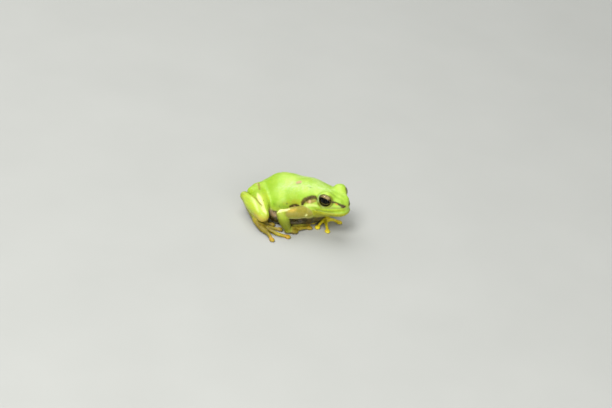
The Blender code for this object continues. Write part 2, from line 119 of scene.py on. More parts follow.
ARMS = {
    RIGHT: dict(shoulder=(4.6, -4.6, 5.5), elbow=(0.7, -11.0, 5.9), wrist=(2.4, -9.6, 1.15),
                palm=(3.2, -8.2, 0.7), fingers=((116, 2.8), (98, 3.6), (82, 4.8), (64, 4.0))),
    LEFT: dict(shoulder=(5.0, 4.6, 5.7), elbow=(2.4, 9.2, 4.4), wrist=(4.7, 4.3, 1.15),
               palm=(5.8, 3.0, 0.75), fingers=((-112, 2.6), (-78, 3.6), (-47, 4.6), (27, 2.9))),
}
UPPER_ARM_ENDS, UPPER_ARM_BELLY = (1.6, 1.2), (3.0, 1.4, 1.45)
FOREARM_ENDS, FOREARM_BELLY = (1.25, 0.95), (2.6, 1.3, 1.3)
PALM_SIZE = (1.6, 1.5, 0.75)
FINGER_THICK = (0.7, 0.52, 0.42, 0.38)
KNUCKLE, FINGER_ROOT = 1.0, 0.6
FINGER_ARCH, TIP_HEIGHT = 0.25, 0.4
HAND_HEEL_THICK = (0.95, 0.8)
TARSUS_SAG = 0.2
BELLY_SHARE, MUSCLE_BLEND = 0.44, 0.9
TOE_ROOT, WEB_REACH = 0.25, 0.55
DISC_AHEAD, TOE_BLEND = 0.22, 0.35
LIMB_BLENDS = dict(thigh=1.5, shank=0.2, tarsus=0.2, foot=0.3, upper_arm=0.9, forearm=0.2, hand=0.3)

# ---- what the skin adds
LID_RADIUS = 2.08                  # outside of the lids, from the eye's middle
SOCKET_RADIUS = 1.91
OPENING = 68.0                     # half angle of the opening between the lids, degrees
OPENING_REACH, OPENING_ROUND = 0.45, 0.5
UPPER_LID_DROP, LOWER_LID_RISE = 10.0, 11.0
FRONT_LID, REAR_LID = 3.0, 9.0     # how much less it is in front and behind
LID_CURVE, CORNER_CURVE = 1.5, 3   # how soon they take hold round the eye
LID_BLEND, LID_ROUND, SOCKET_ROUND = 0.25, 0.2, 0.05

NOSTRIL = (4.35, 1.15, -1.75)
NOSTRIL_START = (0.9, 0.4, 1)      # shares of NOSTRIL, for a place inside the snout
NOSTRIL_SIZE, NOSTRIL_ROUND = (0.24, 0.17, 0.34), 0.08
TYMPANUM = (-4.25, -1.0)           # head x and z
TYMPANUM_RADIUS = 0.8
EAR_FOLD = ((-1.9, -0.1), (-2.9, 0.55), (-4.0, 0.65), (-5.1, 0.3), (-5.9, -0.5), (-6.3, -1.6))
MOUTH_TURN, MOUTH_HINGE = 112, (-1.9, -3.3)
MOUTH_X = (-6.5, -5.1, -3.5, -1.3, 1.4, 3.4, 4.1)   # the line of the mouth, in the head's x and z
MOUTH_Z = (-2.3, -2.5, -3.1, -3.3, -3.3, -3.5, -3.8)
MOUTH_POINTS = 61
GROOVE, FOLD, NOSTRIL_RIM = (0.16, -0.2), (0.4, 0.16), (0.45, 0.1)     # width and height of what is embossed
EAR_RING, EAR_DIP = (0.14, 0.07), (0.6, -0.1)

SKIN_TRIANGLES = 190000
LUMPS = ((1.7, 0.05), (0.55, 0.022))    # size and height of the unevenness of the skin
GRANULE_SIZE, GRANULE_HEIGHT = 0.42, 0.05
SPOT_LENGTH = 0.01                 # a stroke so short is a round spot
FLAT_SOLE = 0.35                   # height under which the skin stays even, where it meets the floor

# Eyeballs
EYE_TURNS = 96
IRIS_EDGE, IRIS_RISE = 72, 0.75    # where the iris starts, in degrees from the look, and how far it bulges
BALL_RINGS, IRIS_RINGS, LENS_RINGS, CORNEA_RINGS = 30, 44, 16, 24
PUPIL_SIZE, PUPIL_TILT, PUPIL_DEPTH = (1.5, 0.76), math.radians(21), 0.15
PUPIL_STEP = (0.88, 1.0)           # where the pupil sinks, as shares of its size
CORNEA_GAP = 0.02
CORNEA_CLEAR, CORNEA_EDGE, CORNEA_SLANT = (0.98, 0.98, 0.96, 1), (0.1, 0.11, 0.08, 1), 0.35
CORNEA_GLOSS, CORNEA_IOR = {"Color": (0.35, 0.35, 0.35, 1), "Roughness": 0.04}, 1.33

# Markings on the side of the head, in its x and z, with half widths
CRESCENT = ((-1.9, 0.05, 0.2), (-2.9, 0.2, 0.38), (-3.9, 0.08, 0.5), (-4.8, -0.2, 0.52),
            (-5.65, -0.75, 0.58), (-6.05, -1.5, 0.54), (-6.1, -2.3, 0.32))
EAR_TAN = ((-5.0, -0.95, 0.5), (-4.0, -0.85, 0.6), (-2.7, -0.55, 0.3))
CHEEK = ((-4.9, -1.95, 0.3), (-3.9, -1.85, 0.45), (-2.8, -1.7, 0.36), (-1.9, -1.75, 0.2))
CANTHAL_LINE = ((1.2, -0.05, 0.2), (1.7, -0.2, 0.3), (2.2, -0.35, 0.22), (2.7, -0.5, 0.22),
                (3.4, -0.85, 0.24), (4.0, -1.35, 0.28), (4.25, -1.75, 0.3))
RUST = ((2.75, -0.85, 0.16), (3.05, -0.95, 0.14))
# Painted shade: an olive line in the crease under the eye.
CHEEK_CREASE_SHADE = ((-1.1, -2.1, 0.1), (0.4, -1.9, 0.2), (2.2, -1.8, 0.24), (4.2, -1.95, 0.14))
LIP = ((-3.2, -2.6, 0.15), (-1.5, -2.65, 0.3), (0.5, -2.6, 0.4), (2.5, -2.6, 0.45), (4.2, -2.7, 0.5))

# Markings on the trunk, in the frog's frame, with radii
# The frog's own brown patch over the shoulder; its lower end also runs onto the top of the arm as painted
# shadow between arm and trunk.
SHOULDER_PATCH = ((0.0, -5.9, 5.6, 0.4), (0.8, -5.8, 6.05, 0.62), (1.6, -5.7, 6.55, 0.55),
                  (2.4, -5.7, 6.9, 0.3))
SHOULDER_SPOT = ((1.0, -5.75, 6.0, 0.22), (1.3, -5.7, 6.15, 0.2))
FLANK_X = (-14, -9, -5.4, -3.9, 0, 3, 6, 9)
FLANK_Z = (2.0, 2.6, 3.1, 3.3, 3.9, 4.9, 5.4, 6.0)
SHOULDER_OCHRE = ((-1.5, -6.4, 6.2, 0.6), (0.8, -5.8, 7.0, 0.9), (3.4, -5.2, 7.8, 0.7), (4.6, -4.6, 9.2, 0.4))
# The two strokes below are a painted sheen: pale marks where the lights' soft highlight falls on the wet back
# and crown.
PAINTED_SHEEN_BACK = ((-4.8, -4.0, 8.8, 1.0), (-2.6, -2.9, 10.0, 1.6), (0.8, -2.7, 10.7, 0.8), (3.0, -1.6, 11.4, 0.9))
PAINTED_SHEEN_CROWN = ((3.6, -0.9, 11.6, 0.7), (5.8, -0.6, 11.7, 0.7), (7.6, -0.2, 11.8, 0.6))
PINK_SPOT = ((-1.4, -1.65, 10.85, 0.6), (-1.1, -1.35, 10.95, 0.6))
PINK_SHADE = ((-1.5, -2.4, 10.6, 0.16), (-0.4, -1.85, 10.8, 0.18))
SPECKS = ((-6.31, -9.64, 6.2, 0.18), (-1.18, -6.04, 6.0, 0.24), (-2.76, -7.06, 4.74, 0.16),
          (-4.51, -7.11, 4.83, 0.18), (2.94, -1.94, 11.3, 0.26))

# Markings on the limbs: lengths along from the first joint, turns forwards from the top and half widths
SEGMENTS = {"thigh": (LEGS, "hip", "knee"), "shank": (LEGS, "knee", "heel"),
            "upper_arm": (ARMS, "shoulder", "elbow")}
# Partly the thigh's own pale cream and partly a painted highlight along its top edge.
THIGH_STRIPE_AND_HIGHLIGHT = ((4.6, -24, 0.1), (6.4, -17, 0.4), (8.2, -9, 0.5), (10.2, -1, 0.65), (12.0, 12, 0.6),
                (12.7, 28, 0.2))
# A painted highlight: a pale mint streak along the shank's upper edge.
SHANK_HIGHLIGHT = ((6.6, 6, 0.1), (4.8, 9, 0.35), (2.6, 28, 0.4), (0.6, 47, 0.2))
# Painted shade: a dark line in the fold between the thigh and the trunk.
HIP_FOLD_SHADE = ((-0.3, -1, 0.2), (1.2, -2, 0.32), (2.8, -4, 0.2))
HIP_PINK = ((-1.0, -16, 0.2), (0.2, -12, 0.25))
# A painted highlight: pink-lilac gleams low on the flank.
GROIN_HIGHLIGHT = ((-4.9, -8.0, 3.3, 0.4), (-3.6, -8.4, 2.9, 0.5), (-2.6, -8.5, 2.8, 0.3))
# A painted highlight: a pale cream streak along the top of the elbow.
ARM_HIGHLIGHT = ((8.9, 6, 0.35), (8.2, 10, 0.5), (7.4, 11, 0.52), (6.6, 9, 0.45), (5.6, 4, 0.25))
ARM_ORANGE = ((5.9, 30, 0.15), (5.0, 28, 0.4), (3.9, 22, 0.2))
ARM_SPOT = ((0.9, 88, 0.28), (0.95, 92, 0.28))

# Colours, red green blue from 0 to 255
LEAF_GREENS = ((154, 194, 50), (174, 206, 74))
LAYERS = (                         # marking, its two tints and how ragged its edge is
    ("yellow", (184, 200, 42), (172, 198, 56), 0.6),
    # painted sheen: pale tints for the soft highlight on the back and crown
    ("painted_sheen", (192, 222, 142), (206, 230, 166), 0.9),
    ("rump", (136, 178, 8), (150, 188, 22), 0.6),
    # the flank's own brown, with tints darker still as painted shade under the body and arm
    ("flank", (40, 28, 2), (74, 56, 14), 1.3),
    ("belly", (196, 186, 124), (172, 158, 98), 1.0),
    ("ochre", (160, 164, 14), (172, 172, 28), 0.9),
    ("shade", (106, 114, 2), (120, 126, 8), 0.8),
    ("jaw", (148, 150, 6), (166, 168, 20), 0.8),
    ("lip", (162, 188, 14), (176, 200, 30), 0.6),
    ("cheek", (214, 230, 130), (204, 226, 110), 0.6),
    ("arm", (140, 132, 38), (154, 142, 50), 0.8),
    # the skin's own pale cream, and painted highlights on the thigh and elbow
    ("cream_and_highlight", (238, 240, 162), (230, 234, 142), 0.9),
    ("orange", (196, 164, 58), (202, 172, 72), 0.9),
    # a painted highlight on the shank
    ("painted_shank_highlight", (208, 228, 138), (198, 222, 118), 0.9),
    # painted shade in the creases at the knee and hip
    ("crease_shade", (140, 132, 24), (124, 108, 20), 0.9),
    ("tan", (136, 120, 26), (112, 92, 14), 0.9),
    # the left hand painted lighter and yellower than the right, as lit against shaded
    ("painted_lit_left_hand", (218, 204, 22), (222, 206, 40), 0.8),
    ("leg_tan", (214, 214, 78), (192, 182, 58), 0.9),
    ("toes", (156, 140, 14), (170, 152, 24), 0.8),
    ("tips", (178, 120, 14), (188, 134, 22), 0.8),
    # painted shade round the front and bottom of the eye and in the crease under it
    ("painted_olive_shade", (112, 118, 12), (126, 132, 22), 0.6),
    ("lid_rear", (172, 194, 124), (160, 182, 106), 0.5),
    ("ear_tan", (164, 144, 70), (140, 122, 48), 0.8),
    ("bronze", (54, 38, 2), (84, 66, 6), 1.0),
    ("ear", (226, 194, 148), (208, 172, 124), 0.6),
    ("rust", (204, 128, 30), (212, 150, 60), 0.6),
    ("nostril", (84, 40, 16), (70, 34, 14), 0.3),
    ("lid_edge", (74, 62, 16), (96, 80, 24), 0.4),
    # pink spots, and painted pink-lilac highlights low on the flank
    ("pink_and_highlight", (200, 162, 126), (186, 148, 106), 0.8),
    ("speck", (74, 84, 16), (86, 94, 22), 0.8),
)
DOT_COLOUR, FRECKLE_COLOUR, PALE_GRAIN = (112, 128, 40), (96, 66, 18), (218, 232, 140)
DOT_SHARE, FRECKLE_SHARE, PALE_SHARE = 0.4, 0.45, 0.18
BROAD, MIDDLING, FINE, DOTS, FRECKLES, PORES = 2.6, 0.7, 0.16, 1.7, 0.5, 0.3      # sizes of the patterns
SKIN_FINISH = {"Subsurface Weight": 0.12, "Subsurface Scale": 0.0006, "Subsurface Radius": (1.0, 0.9, 0.35),
               "Specular IOR Level": 0.18, "Coat Weight": 0.36, "Coat Roughness": 0.4, "Coat IOR": 1.45}
IRIS_GOLD, IRIS_BRONZE, IRIS_BROWN = (190, 156, 78), (126, 106, 42), (70, 50, 20)
# IRIS_PALE, for the iris's top, is partly its own pale gold and partly a painted reflection of the sky.
IRIS_PALE, IRIS_OLIVE, IRIS_DARK = (226, 204, 156), (104, 110, 34), (44, 38, 14)
PUPIL_BLACK, EYE_WHITE = (4, 4, 4), (120, 110, 90)
VEIN_SIZE, STREAK_SCALE = 0.22, 9.0
IRIS_LAYERS = (                    # measure, where it starts and is full, strength and colour
    ("up", -0.2, -0.9, 0.6, IRIS_OLIVE),
    ("veins", 0.52, 0.62, 0.7, IRIS_DARK),
    ("oval", 1.16, 1.06, 0.45, IRIS_GOLD),
    ("radius", 1.56, 1.72, 1.0, IRIS_DARK),
    ("oval", 1.03, 0.97, 1.0, PUPIL_BLACK),
)
FLOOR_WIDTH, FLOOR_TINTS, FLOOR_PATTERN = 6, ((172, 173, 168), (180, 181, 176)), 30

# Camera and light
CAMERA_RIGHT = (0.805, 0.5775, 0.131)
CAMERA_UP = (-0.395, 0.361, 0.844)
CAMERA_TARGET = (-0.13, 2.03, 2.98)
CAMERA_DISTANCE = 459.5
CAMERA_LENS, CAMERA_SENSOR, CAMERA_CLIP = 100, 36, (0.005, 20)
SKY_COLOUR, SKY_STRENGTH = (0.95, 0.98, 1.0, 1), 0.18
LIGHTS = {                         # place, width and watts
    "key": ((0.03, -0.38, 0.5), 0.26, 3.2),
    "overhead": ((-0.32, 0.12, 0.56), 0.75, 3.7),
    "fill": ((0.45, -0.3, 0.2), 0.4, 1.4),
}


# ---- distances
Form = namedtuple("Form", "low high distance")     # a solid: its box, and its distance, negative inside


def unit(vector):
    vector = np.asarray(vector, float)
    return vector / np.linalg.norm(vector)


def turned(yaw, pitch):
    """Axes of a piece turned left by yaw and nose up by pitch, one a row."""
    yaw, pitch = math.radians(yaw), math.radians(pitch)
    forward = np.array((math.cos(pitch) * math.cos(yaw), math.cos(pitch) * math.sin(yaw), math.sin(pitch)))
    left = np.array((-math.sin(yaw), math.cos(yaw), 0.0))
    return np.array((forward, left, np.cross(forward, left)))


def level(heading):
    """The level way at this many degrees to the left of ahead."""
    return np.array((math.cos(math.radians(heading)), math.sin(math.radians(heading)), 0))


def along(direction):
    """Axes of a piece that lies along a direction, one a row, with its left level."""
    forward = unit(direction)
    left = unit(np.cross((0, 0, 1), forward))
    return np.array((forward, left, np.cross(forward, left)))


def reading(axis, start, x, y, z):
    """How far points lie along an axis, from a start."""
    return axis[0] * (x - start[0]) + axis[1] * (y - start[1]) + axis[2] * (z - start[2])


def from_rod(start, run, x, y, z):
    """The share of the run at which it is nearest, and the square of the distance to it there."""
    t = np.clip(reading(run, start, x, y, z) / (run @ run), 0, 1)
    return t, sum((p - s - t * r) ** 2 for p, s, r in zip((x, y, z), start, run))


def smooth_min(a, b, blend):
    """The lesser of two distances, with a fillet about as wide as blend where they meet."""
    if blend <= 0:
        return np.minimum(a, b)
    overlap = np.maximum(blend - np.abs(a - b), 0) / blend
    return np.minimum(a, b) - overlap * overlap * (blend / 4)


def ellipsoid(centre, radii, axes=None):
    centre, radii = np.array(centre, float), np.array(radii, float)
    axes = np.eye(3) if axes is None else np.asarray(axes)

    def distance(x, y, z):
        near, steep = 0, 0
        for axis, radius in zip(axes, radii):
            off = reading(axis, centre, x, y, z)
            near = near + (off / radius) ** 2
            steep = steep + (off / radius ** 2) ** 2
        near = np.sqrt(near)
        return near * (near - 1) / (np.sqrt(steep) + TINY)

    half = np.sqrt(((axes * radii[:, None]) ** 2).sum(0))
    return Form(centre - half, centre + half, distance)


def tapered_rods(points, radii):
    """Round rods from point to point, each tapering between the radii at its ends."""
    points, radii = np.array(points, float), np.array(radii, float)

    def distance(x, y, z):
        nearest = FAR
        for start, end, thick, thin in zip(points[:-1], points[1:], radii[:-1], radii[1:]):
            t, off = from_rod(start, end - start, x, y, z)
            nearest = np.minimum(nearest, np.sqrt(off) - thick - (thin - thick) * t)
        return nearest

    return Form((points - radii[:, None]).min(0), (points + radii[:, None]).max(0), distance)


def smooth_route(points, steps=5):
    """Points on the smooth curve through the given ones. Columns past the third follow along."""
    knots = np.array(points, float)
    knots = np.vstack((2 * knots[0] - knots[1], knots, 2 * knots[-1] - knots[-2]))
    route = []
    for i in range(1, len(knots) - 2):
        for t in np.arange(steps) / steps:
            weights = np.array((-t + 2 * t ** 2 - t ** 3, 2 - 5 * t ** 2 + 3 * t ** 3,
                                t + 4 * t ** 2 - 3 * t ** 3, -t ** 2 + t ** 3)) / 2
            route.append(weights @ knots[i - 1:i + 3])
    return np.array(route + [knots[-2]])


def limb(points, radii):
    """A tapering tube on the smooth curve through the points."""
    route = smooth_route(np.column_stack((np.array(points, float), radii)))
    return tapered_rods(route[:, :3], route[:, 3])


def web(a, b, c, half_thickness):
    """A thin triangle with round edges, for the skin between two toes."""
    corners = np.array((a, b, c), float)
    normal = unit(np.cross(corners[1] - corners[0], corners[2] - corners[0]))

    def distance(x, y, z):
        edge_distance, inside = FAR ** 2, True
        for start, end in zip(corners, np.roll(corners, -1, axis=0)):
            edge_distance = np.minimum(edge_distance, from_rod(start, end - start, x, y, z)[1])
            inside = inside & (reading(np.cross(normal, end - start), start, x, y, z) > 0)
        flat = np.abs(reading(normal, a, x, y, z))
        return np.where(inside, flat, np.sqrt(edge_distance)) - half_thickness

    return Form(corners.min(0) - half_thickness, corners.max(0) + half_thickness, distance)


def joined(forms, blend):
    """Several forms run together."""

    def distance(x, y, z):
        total = forms[0].distance(x, y, z)
        for form in forms[1:]:
            total = smooth_min(total, form.distance(x, y, z), blend)
        return total

    return Form(np.min([f.low for f in forms], 0), np.max([f.high for f in forms], 0), distance)


# ---- the frog's forms
HEAD_AXES = turned(HEAD_YAW, HEAD_PITCH)


def on_head(x, y, z):
    """A point given in the head's axes, as a place on the frog."""
    return np.array(HEAD_AT) + HEAD_AXES.T @ np.array((x, y, z))


def head_forms():
    """(form, blend) for the jaw, the skull, the ridges from eye to nostril and the lids."""

    def lump(place, half_sizes):
        return ellipsoid(on_head(*place), half_sizes, HEAD_AXES)

    jaw = joined((lump(*JAW), lump(*CHIN), lump(*THROAT)), JAW_BLEND)
    skull = joined((lump(*CROWN), lump(*SNOUT), lump(*LIPS)), SKULL_BLEND)
    ridges, lids = [], []
    for side in BOTH:
        mirror = np.array((1, side, 1))
        ridges.append(tapered_rods([on_head(*(end * mirror)) for end in np.array(RIDGE)], RIDGE_THICK))
        look = unit(np.array(EYE_LOOK) * mirror)
        lid_middle = on_head(*(EYE_AT * mirror - look * LID_SINK))
        lids.append(ellipsoid(lid_middle, LID_SIZE, along(HEAD_AXES.T @ look)))
    return tuple(zip((jaw, skull, joined(ridges, 0), joined(lids, 0)), HEAD_BLENDS))


def trunk_form():
    lumps = [ellipsoid(centre, half_sizes, turned(yaw, pitch))
             for centre, half_sizes, yaw, pitch in TRUNK.values()]
    return joined(lumps, TRUNK_BLEND)


def disc(tip, heading):
    return ellipsoid(tip, DISC_SIZE, along((heading[0], heading[1], 0)))


def muscle(start, end, ends, belly):
    """A limb segment: a tapering rod with a fuller stretch part of the way along."""
    middle = start + (end - start) * BELLY_SHARE
    rod, swelling = tapered_rods((start, end), ends), ellipsoid(middle, belly, along(end - start))
    return joined((rod, swelling), MUSCLE_BLEND)


def joints(limb, *names):
    return [np.array(limb[name]) for name in names]


def leg_forms(side):
    hip, knee, heel, ankle, sole = joints(LEGS[side], "hip", "knee", "heel", "ankle", "sole")
    root = ankle + (sole - ankle) * TOE_ROOT
    toes, web_ends = [], []
    for middle, tip in LEGS[side]["toes"]:
        middle, tip = np.array(middle), np.array(tip)
        toes.append(limb((ankle, root, middle, tip), TOE_THICK))
        toes.append(disc(tip + unit(tip - middle) * DISC_AHEAD, tip - middle))
        web_ends.append(root + (middle - root) * WEB_REACH)
    webs = [web(root, one, other, WEB_THICK) for one, other in zip(web_ends[:-1], web_ends[1:])]
    pad = ellipsoid((ankle + sole) / 2, SOLE_SIZE, along(sole - ankle))
    thigh = [muscle(hip, knee, THIGH_ENDS, THIGH_BELLY)]
    if side == RIGHT:
        place, radius = HAUNCH
        thigh.append(ellipsoid(place, (radius,) * 3))
    return dict(
        thigh=joined(thigh, MUSCLE_BLEND),
        shank=muscle(knee, heel, SHANK_ENDS, SHANK_BELLY),
        tarsus=limb((heel, (heel + ankle) / 2 - (0, 0, TARSUS_SAG), ankle), TARSUS_THICK),
        foot=joined([pad] + toes + webs, TOE_BLEND),
    )


def arm_forms(side):
    shoulder, elbow, wrist, palm = joints(ARMS[side], "shoulder", "elbow", "wrist", "palm")
    fingers = []
    for heading, length in ARMS[side]["fingers"]:
        way = level(heading)
        knuckle = palm + way * KNUCKLE
        tip = knuckle + way * length
        tip[2] = TIP_HEIGHT
        arch = (knuckle + tip) / 2 + (0, 0, FINGER_ARCH)
        fingers.append(limb((wrist + (palm - wrist) * FINGER_ROOT, knuckle, arch, tip), FINGER_THICK))
        fingers.append(disc(tip + way * DISC_AHEAD, way))
    heel_of_hand = tapered_rods((wrist, palm), HAND_HEEL_THICK)
    return dict(
        upper_arm=muscle(shoulder, elbow, UPPER_ARM_ENDS, UPPER_ARM_BELLY),
        forearm=muscle(elbow, wrist, FOREARM_ENDS, FOREARM_BELLY),
        hand=joined([ellipsoid(palm, PALM_SIZE, along(palm - wrist)), heel_of_hand] + fingers, TOE_BLEND),
    )


# ---- modelling grid
class Clay:
    """The body's distances on an even grid, added to form by form."""

    def __init__(self):
        self.low = np.array((-REACH, -REACH, -BELOW))
        ends = np.array((REACH, REACH, TALL))
        self.axes = [np.arange(a, b, CELL, dtype=np.float32) for a, b in zip(self.low, ends)]
        self.field = np.full([len(axis) for axis in self.axes], FAR, np.float32)

    def window(self, low, high):
        """The slices that hold a box, and the x, y and z there."""
        cuts = []
        for axis, near, far in zip(self.axes, low, high):
            first, last = np.searchsorted(axis, (near, far))
            cuts.append(slice(max(int(first) - 1, 0), int(last) + 1))
        x, y, z = (axis[cut] for axis, cut in zip(self.axes, cuts))
        return tuple(cuts), (x[:, None, None], y[None, :, None], z[None, None, :])

    def add(self, form, blend):
        cuts, place = self.window(form.low - ADD_ROOM, form.high + ADD_ROOM)
        self.field[cuts] = smooth_min(self.field[cuts], form.distance(*place).astype(np.float32), blend)

    def carve(self, form, blend):
        cuts, place = self.window(form.low - CARVE_ROOM, form.high + CARVE_ROOM)
        hole = form.distance(*place).astype(np.float32)
        self.field[cuts] = -smooth_min(-self.field[cuts], hole, blend)

    def emboss(self, path, width, height):
        """Raises the skin along a path, or sinks it where height is negative."""
        line = tapered_rods(path, [0] * len(path))
        cuts, place = self.window(line.low - 3 * width, line.high + 3 * width)
        self.field[cuts] -= (height * np.exp(-(line.distance(*place) / width) ** 2)).astype(np.float32)

    def at(self, point):
        """The field at a point, between its grid points."""
        place = (np.asarray(point) - self.low) / CELL
        corner = np.floor(place).astype(int)
        part = place - corner
        cube = self.field[tuple(slice(c, c + 2) for c in corner)]
        for share in part:
            cube = cube[0] * (1 - share) + cube[1] * share
        return float(cube)

    def reach(self, start, way):
        """Where a line from inside the body comes out through the skin."""
        point, way = np.array(start, float), unit(way)
        while self.at(point) < 0:
            point = point + way * CELL
        return point - way * self.at(point)

    def mesh(self):
        """Points and four-sided faces of the surface where the field is zero."""
        volume = openvdb.FloatGrid(FAR)
        volume.copyFromArray(self.field)
        points, faces = volume.convertToQuads(0.0)
        return points * CELL + self.low, faces


# ---- eyes and lids
def eye_frame(side):
    """The eye's middle, and its axes: the way it looks, forwards and up."""
    mirror = np.array((1, side, 1))
    middle = on_head(*(EYE_AT * mirror))
    look = HEAD_AXES.T @ unit(np.array(EYE_LOOK) * mirror)
    up = unit(HEAD_AXES[2] - look * (HEAD_AXES[2] @ look))
    return middle, np.array((look, -side * np.cross(up, look), up))


def lid_angle(around):
    """Half angle of the opening at each angle round the eye, 0 in front and 90 degrees on top."""
    rise, front = np.sin(around), np.cos(around)
    lids = ((rise, UPPER_LID_DROP, LID_CURVE), (-rise, LOWER_LID_RISE, LID_CURVE),
            (front, FRONT_LID, CORNER_CURVE), (-front, REAR_LID, CORNER_CURVE))
    return np.radians(OPENING - sum(less * np.maximum(way, 0) ** curve for way, less, curve in lids))


def past_lid(side, x, y, z):
    """How far points lie past the lid's edge along its curve and from the eye's middle, and their turn."""
    middle, axes = eye_frame(side)
    ahead, front, up = (reading(axis, middle, x, y, z) for axis in axes)
    away = np.sqrt(ahead ** 2 + front ** 2 + up ** 2) + TINY
    around = np.arctan2(up, front)
    return away * (np.arccos(np.clip(ahead / away, -1, 1)) - lid_angle(around)), away, around


def opening_form(side):
    middle, _ = eye_frame(side)

    def distance(x, y, z):
        past, away, _ = past_lid(side, x, y, z)
        return -smooth_min(-past, LID_RADIUS + OPENING_REACH - away, OPENING_ROUND)

    return Form(middle - LID_RADIUS - OPENING_REACH, middle + LID_RADIUS + OPENING_REACH, distance)


def add_eyelids(clay, side):
    middle, _ = eye_frame(side)
    clay.add(ellipsoid(middle, (LID_RADIUS,) * 3), LID_BLEND)
    clay.carve(opening_form(side), LID_ROUND)
    clay.carve(ellipsoid(middle, (SOCKET_RADIUS,) * 3), SOCKET_ROUND)


# ---- the skin's surface
def bare_head():
    """The head alone, on which the places of its features are found."""
    clay = Clay()
    for form, blend in head_forms():
        clay.add(form, blend)
    return clay


def side_of_head(head, side, x, z):
    """A point on the side of the head, from its x and z in the head's axes."""
    return head.reach(on_head(x, 0, z), HEAD_AXES[1] * side)


def nostril_at(head, side):
    place = np.array(NOSTRIL) * (1, side, 1)
    inner = on_head(*(place * NOSTRIL_START))
    return head.reach(inner, on_head(*place) - inner)


def mouth_point(head, angle):
    """A point of the mouth, at an angle from straight ahead in the plane of the jaw."""
    way = HEAD_AXES.T @ np.array((math.cos(angle), math.sin(angle), 0))
    hinge_x, z = MOUTH_HINGE
    for _ in range(2):
        found = head.reach(on_head(hinge_x, 0, z), way)
        z = np.interp((HEAD_AXES @ (found - HEAD_AT))[0], MOUTH_X, MOUTH_Z)
    return found


def add_face(clay):
    head = bare_head()
    across, upward = HEAD_AXES[0], HEAD_AXES[2]
    angles = np.radians(np.linspace(-MOUTH_TURN, MOUTH_TURN, MOUTH_POINTS))
    clay.emboss([mouth_point(head, angle) for angle in angles], *GROOVE)
    for side in BOTH:
        add_eyelids(clay, side)
        clay.emboss(smooth_route([side_of_head(head, side, x, z) for x, z in EAR_FOLD]), *FOLD)
        ear = side_of_head(head, side, *TYMPANUM)
        turns = np.radians(np.arange(0, 361, 20))
        ring = [ear + TYMPANUM_RADIUS * (across * math.cos(t) + upward * math.sin(t)) for t in turns]
        clay.emboss(ring, *EAR_RING)
        clay.emboss((ear, ear + across * SPOT_LENGTH), *EAR_DIP)
        nostril = nostril_at(head, side)
        clay.emboss((nostril, nostril + (0, 0, SPOT_LENGTH)), *NOSTRIL_RIM)
        clay.carve(ellipsoid(nostril, NOSTRIL_SIZE, HEAD_AXES), NOSTRIL_ROUND)


def body():
    clay = Clay()
    for form, blend in ((trunk_form(), 0), *head_forms()):
        clay.add(form, blend)
    for side in BOTH:
        for kind, form in {**leg_forms(side), **arm_forms(side)}.items():
            clay.add(form, LIMB_BLENDS[kind])
    add_face(clay)
    floor_level = -clay.axes[2][None, None, :]
    np.maximum(clay.field, floor_level, out=clay.field)
    return clay


# ---- the row's frame
SHIFT = np.mean(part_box("eye_right"), 0) - eye_frame(RIGHT)[0] * GRAIN


def placed(points):
    """Points on the frog, in millimetres, in the row's frame in metres."""
    return np.asarray(points) * GRAIN + SHIFT


def linked(name, data):
    made = bpy.data.objects.new(name, data)
    bpy.context.scene.collection.objects.link(made)
    return made


def new_object(name, points, faces):
    mesh = bpy.data.meshes.new(name)
    mesh.from_pydata(np.asarray(points).tolist(), [], [list(face) for face in faces])
    bm = bmesh.new()
    bm.from_mesh(mesh)
    if bm.calc_volume(signed=True) < 0:
        bmesh.ops.reverse_faces(bm, faces=bm.faces)
    bm.to_mesh(mesh)
    bm.free()
    mesh.shade_smooth()
    return linked(name, mesh)


def write_attribute(mesh, name, values):
    """Stores a number, or a vector, for each of the mesh's points."""
    values = np.asarray(values, np.float32)
    kind, field = ("FLOAT_VECTOR", "vector") if values.ndim == 2 else ("FLOAT", "value")
    mesh.attributes.new(name, kind, "POINT").data.foreach_set(field, values.ravel())


# ---- eyeballs
def turned_solid(name, profile, side, finish):
    """A closed solid swept round the way the eye looks. The profile gives (out, radius) from pole to pole."""
    middle, axes = eye_frame(side)
    (first, *rings, last) = profile
    turns = np.arange(EYE_TURNS) * 2 * math.pi / EYE_TURNS
    local = [(first[0], 0, 0)]
    for out, radius in rings:
        local += [(out, radius * math.cos(turn), radius * math.sin(turn)) for turn in turns]
    local = np.array(local + [(last[0], 0, 0)])
    if name == "eyeball":
        local[:, 0] -= PUPIL_DEPTH * within_pupil(local) * (local[:, 0] > 0)
    faces, starts = [], [1 + ring * EYE_TURNS for ring in range(len(rings))]
    for i in range(EYE_TURNS):
        j = (i + 1) % EYE_TURNS
        faces.append((0, 1 + i, 1 + j))
        faces += [(a + i, b + i, b + j, a + j) for a, b in zip(starts[:-1], starts[1:])]
        faces.append((starts[-1] + i, len(local) - 1, starts[-1] + j))
    made = new_object(f"{name}_{SIDE_NAMES[side]}", placed(middle + local @ axes), faces)
    write_attribute(made.data, "eye_place", local)
    made.data.materials.append(finish)
    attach(made, "root")
    return made


def within_pupil(local):
    """1 inside the pupil's oval, 0 outside."""
    front, up, cos, sin = local[:, 1], local[:, 2], math.cos(PUPIL_TILT), math.sin(PUPIL_TILT)
    oval = np.hypot((front * cos - up * sin) / PUPIL_SIZE[0], (front * sin + up * cos) / PUPIL_SIZE[1])
    return fade(oval, *PUPIL_STEP)


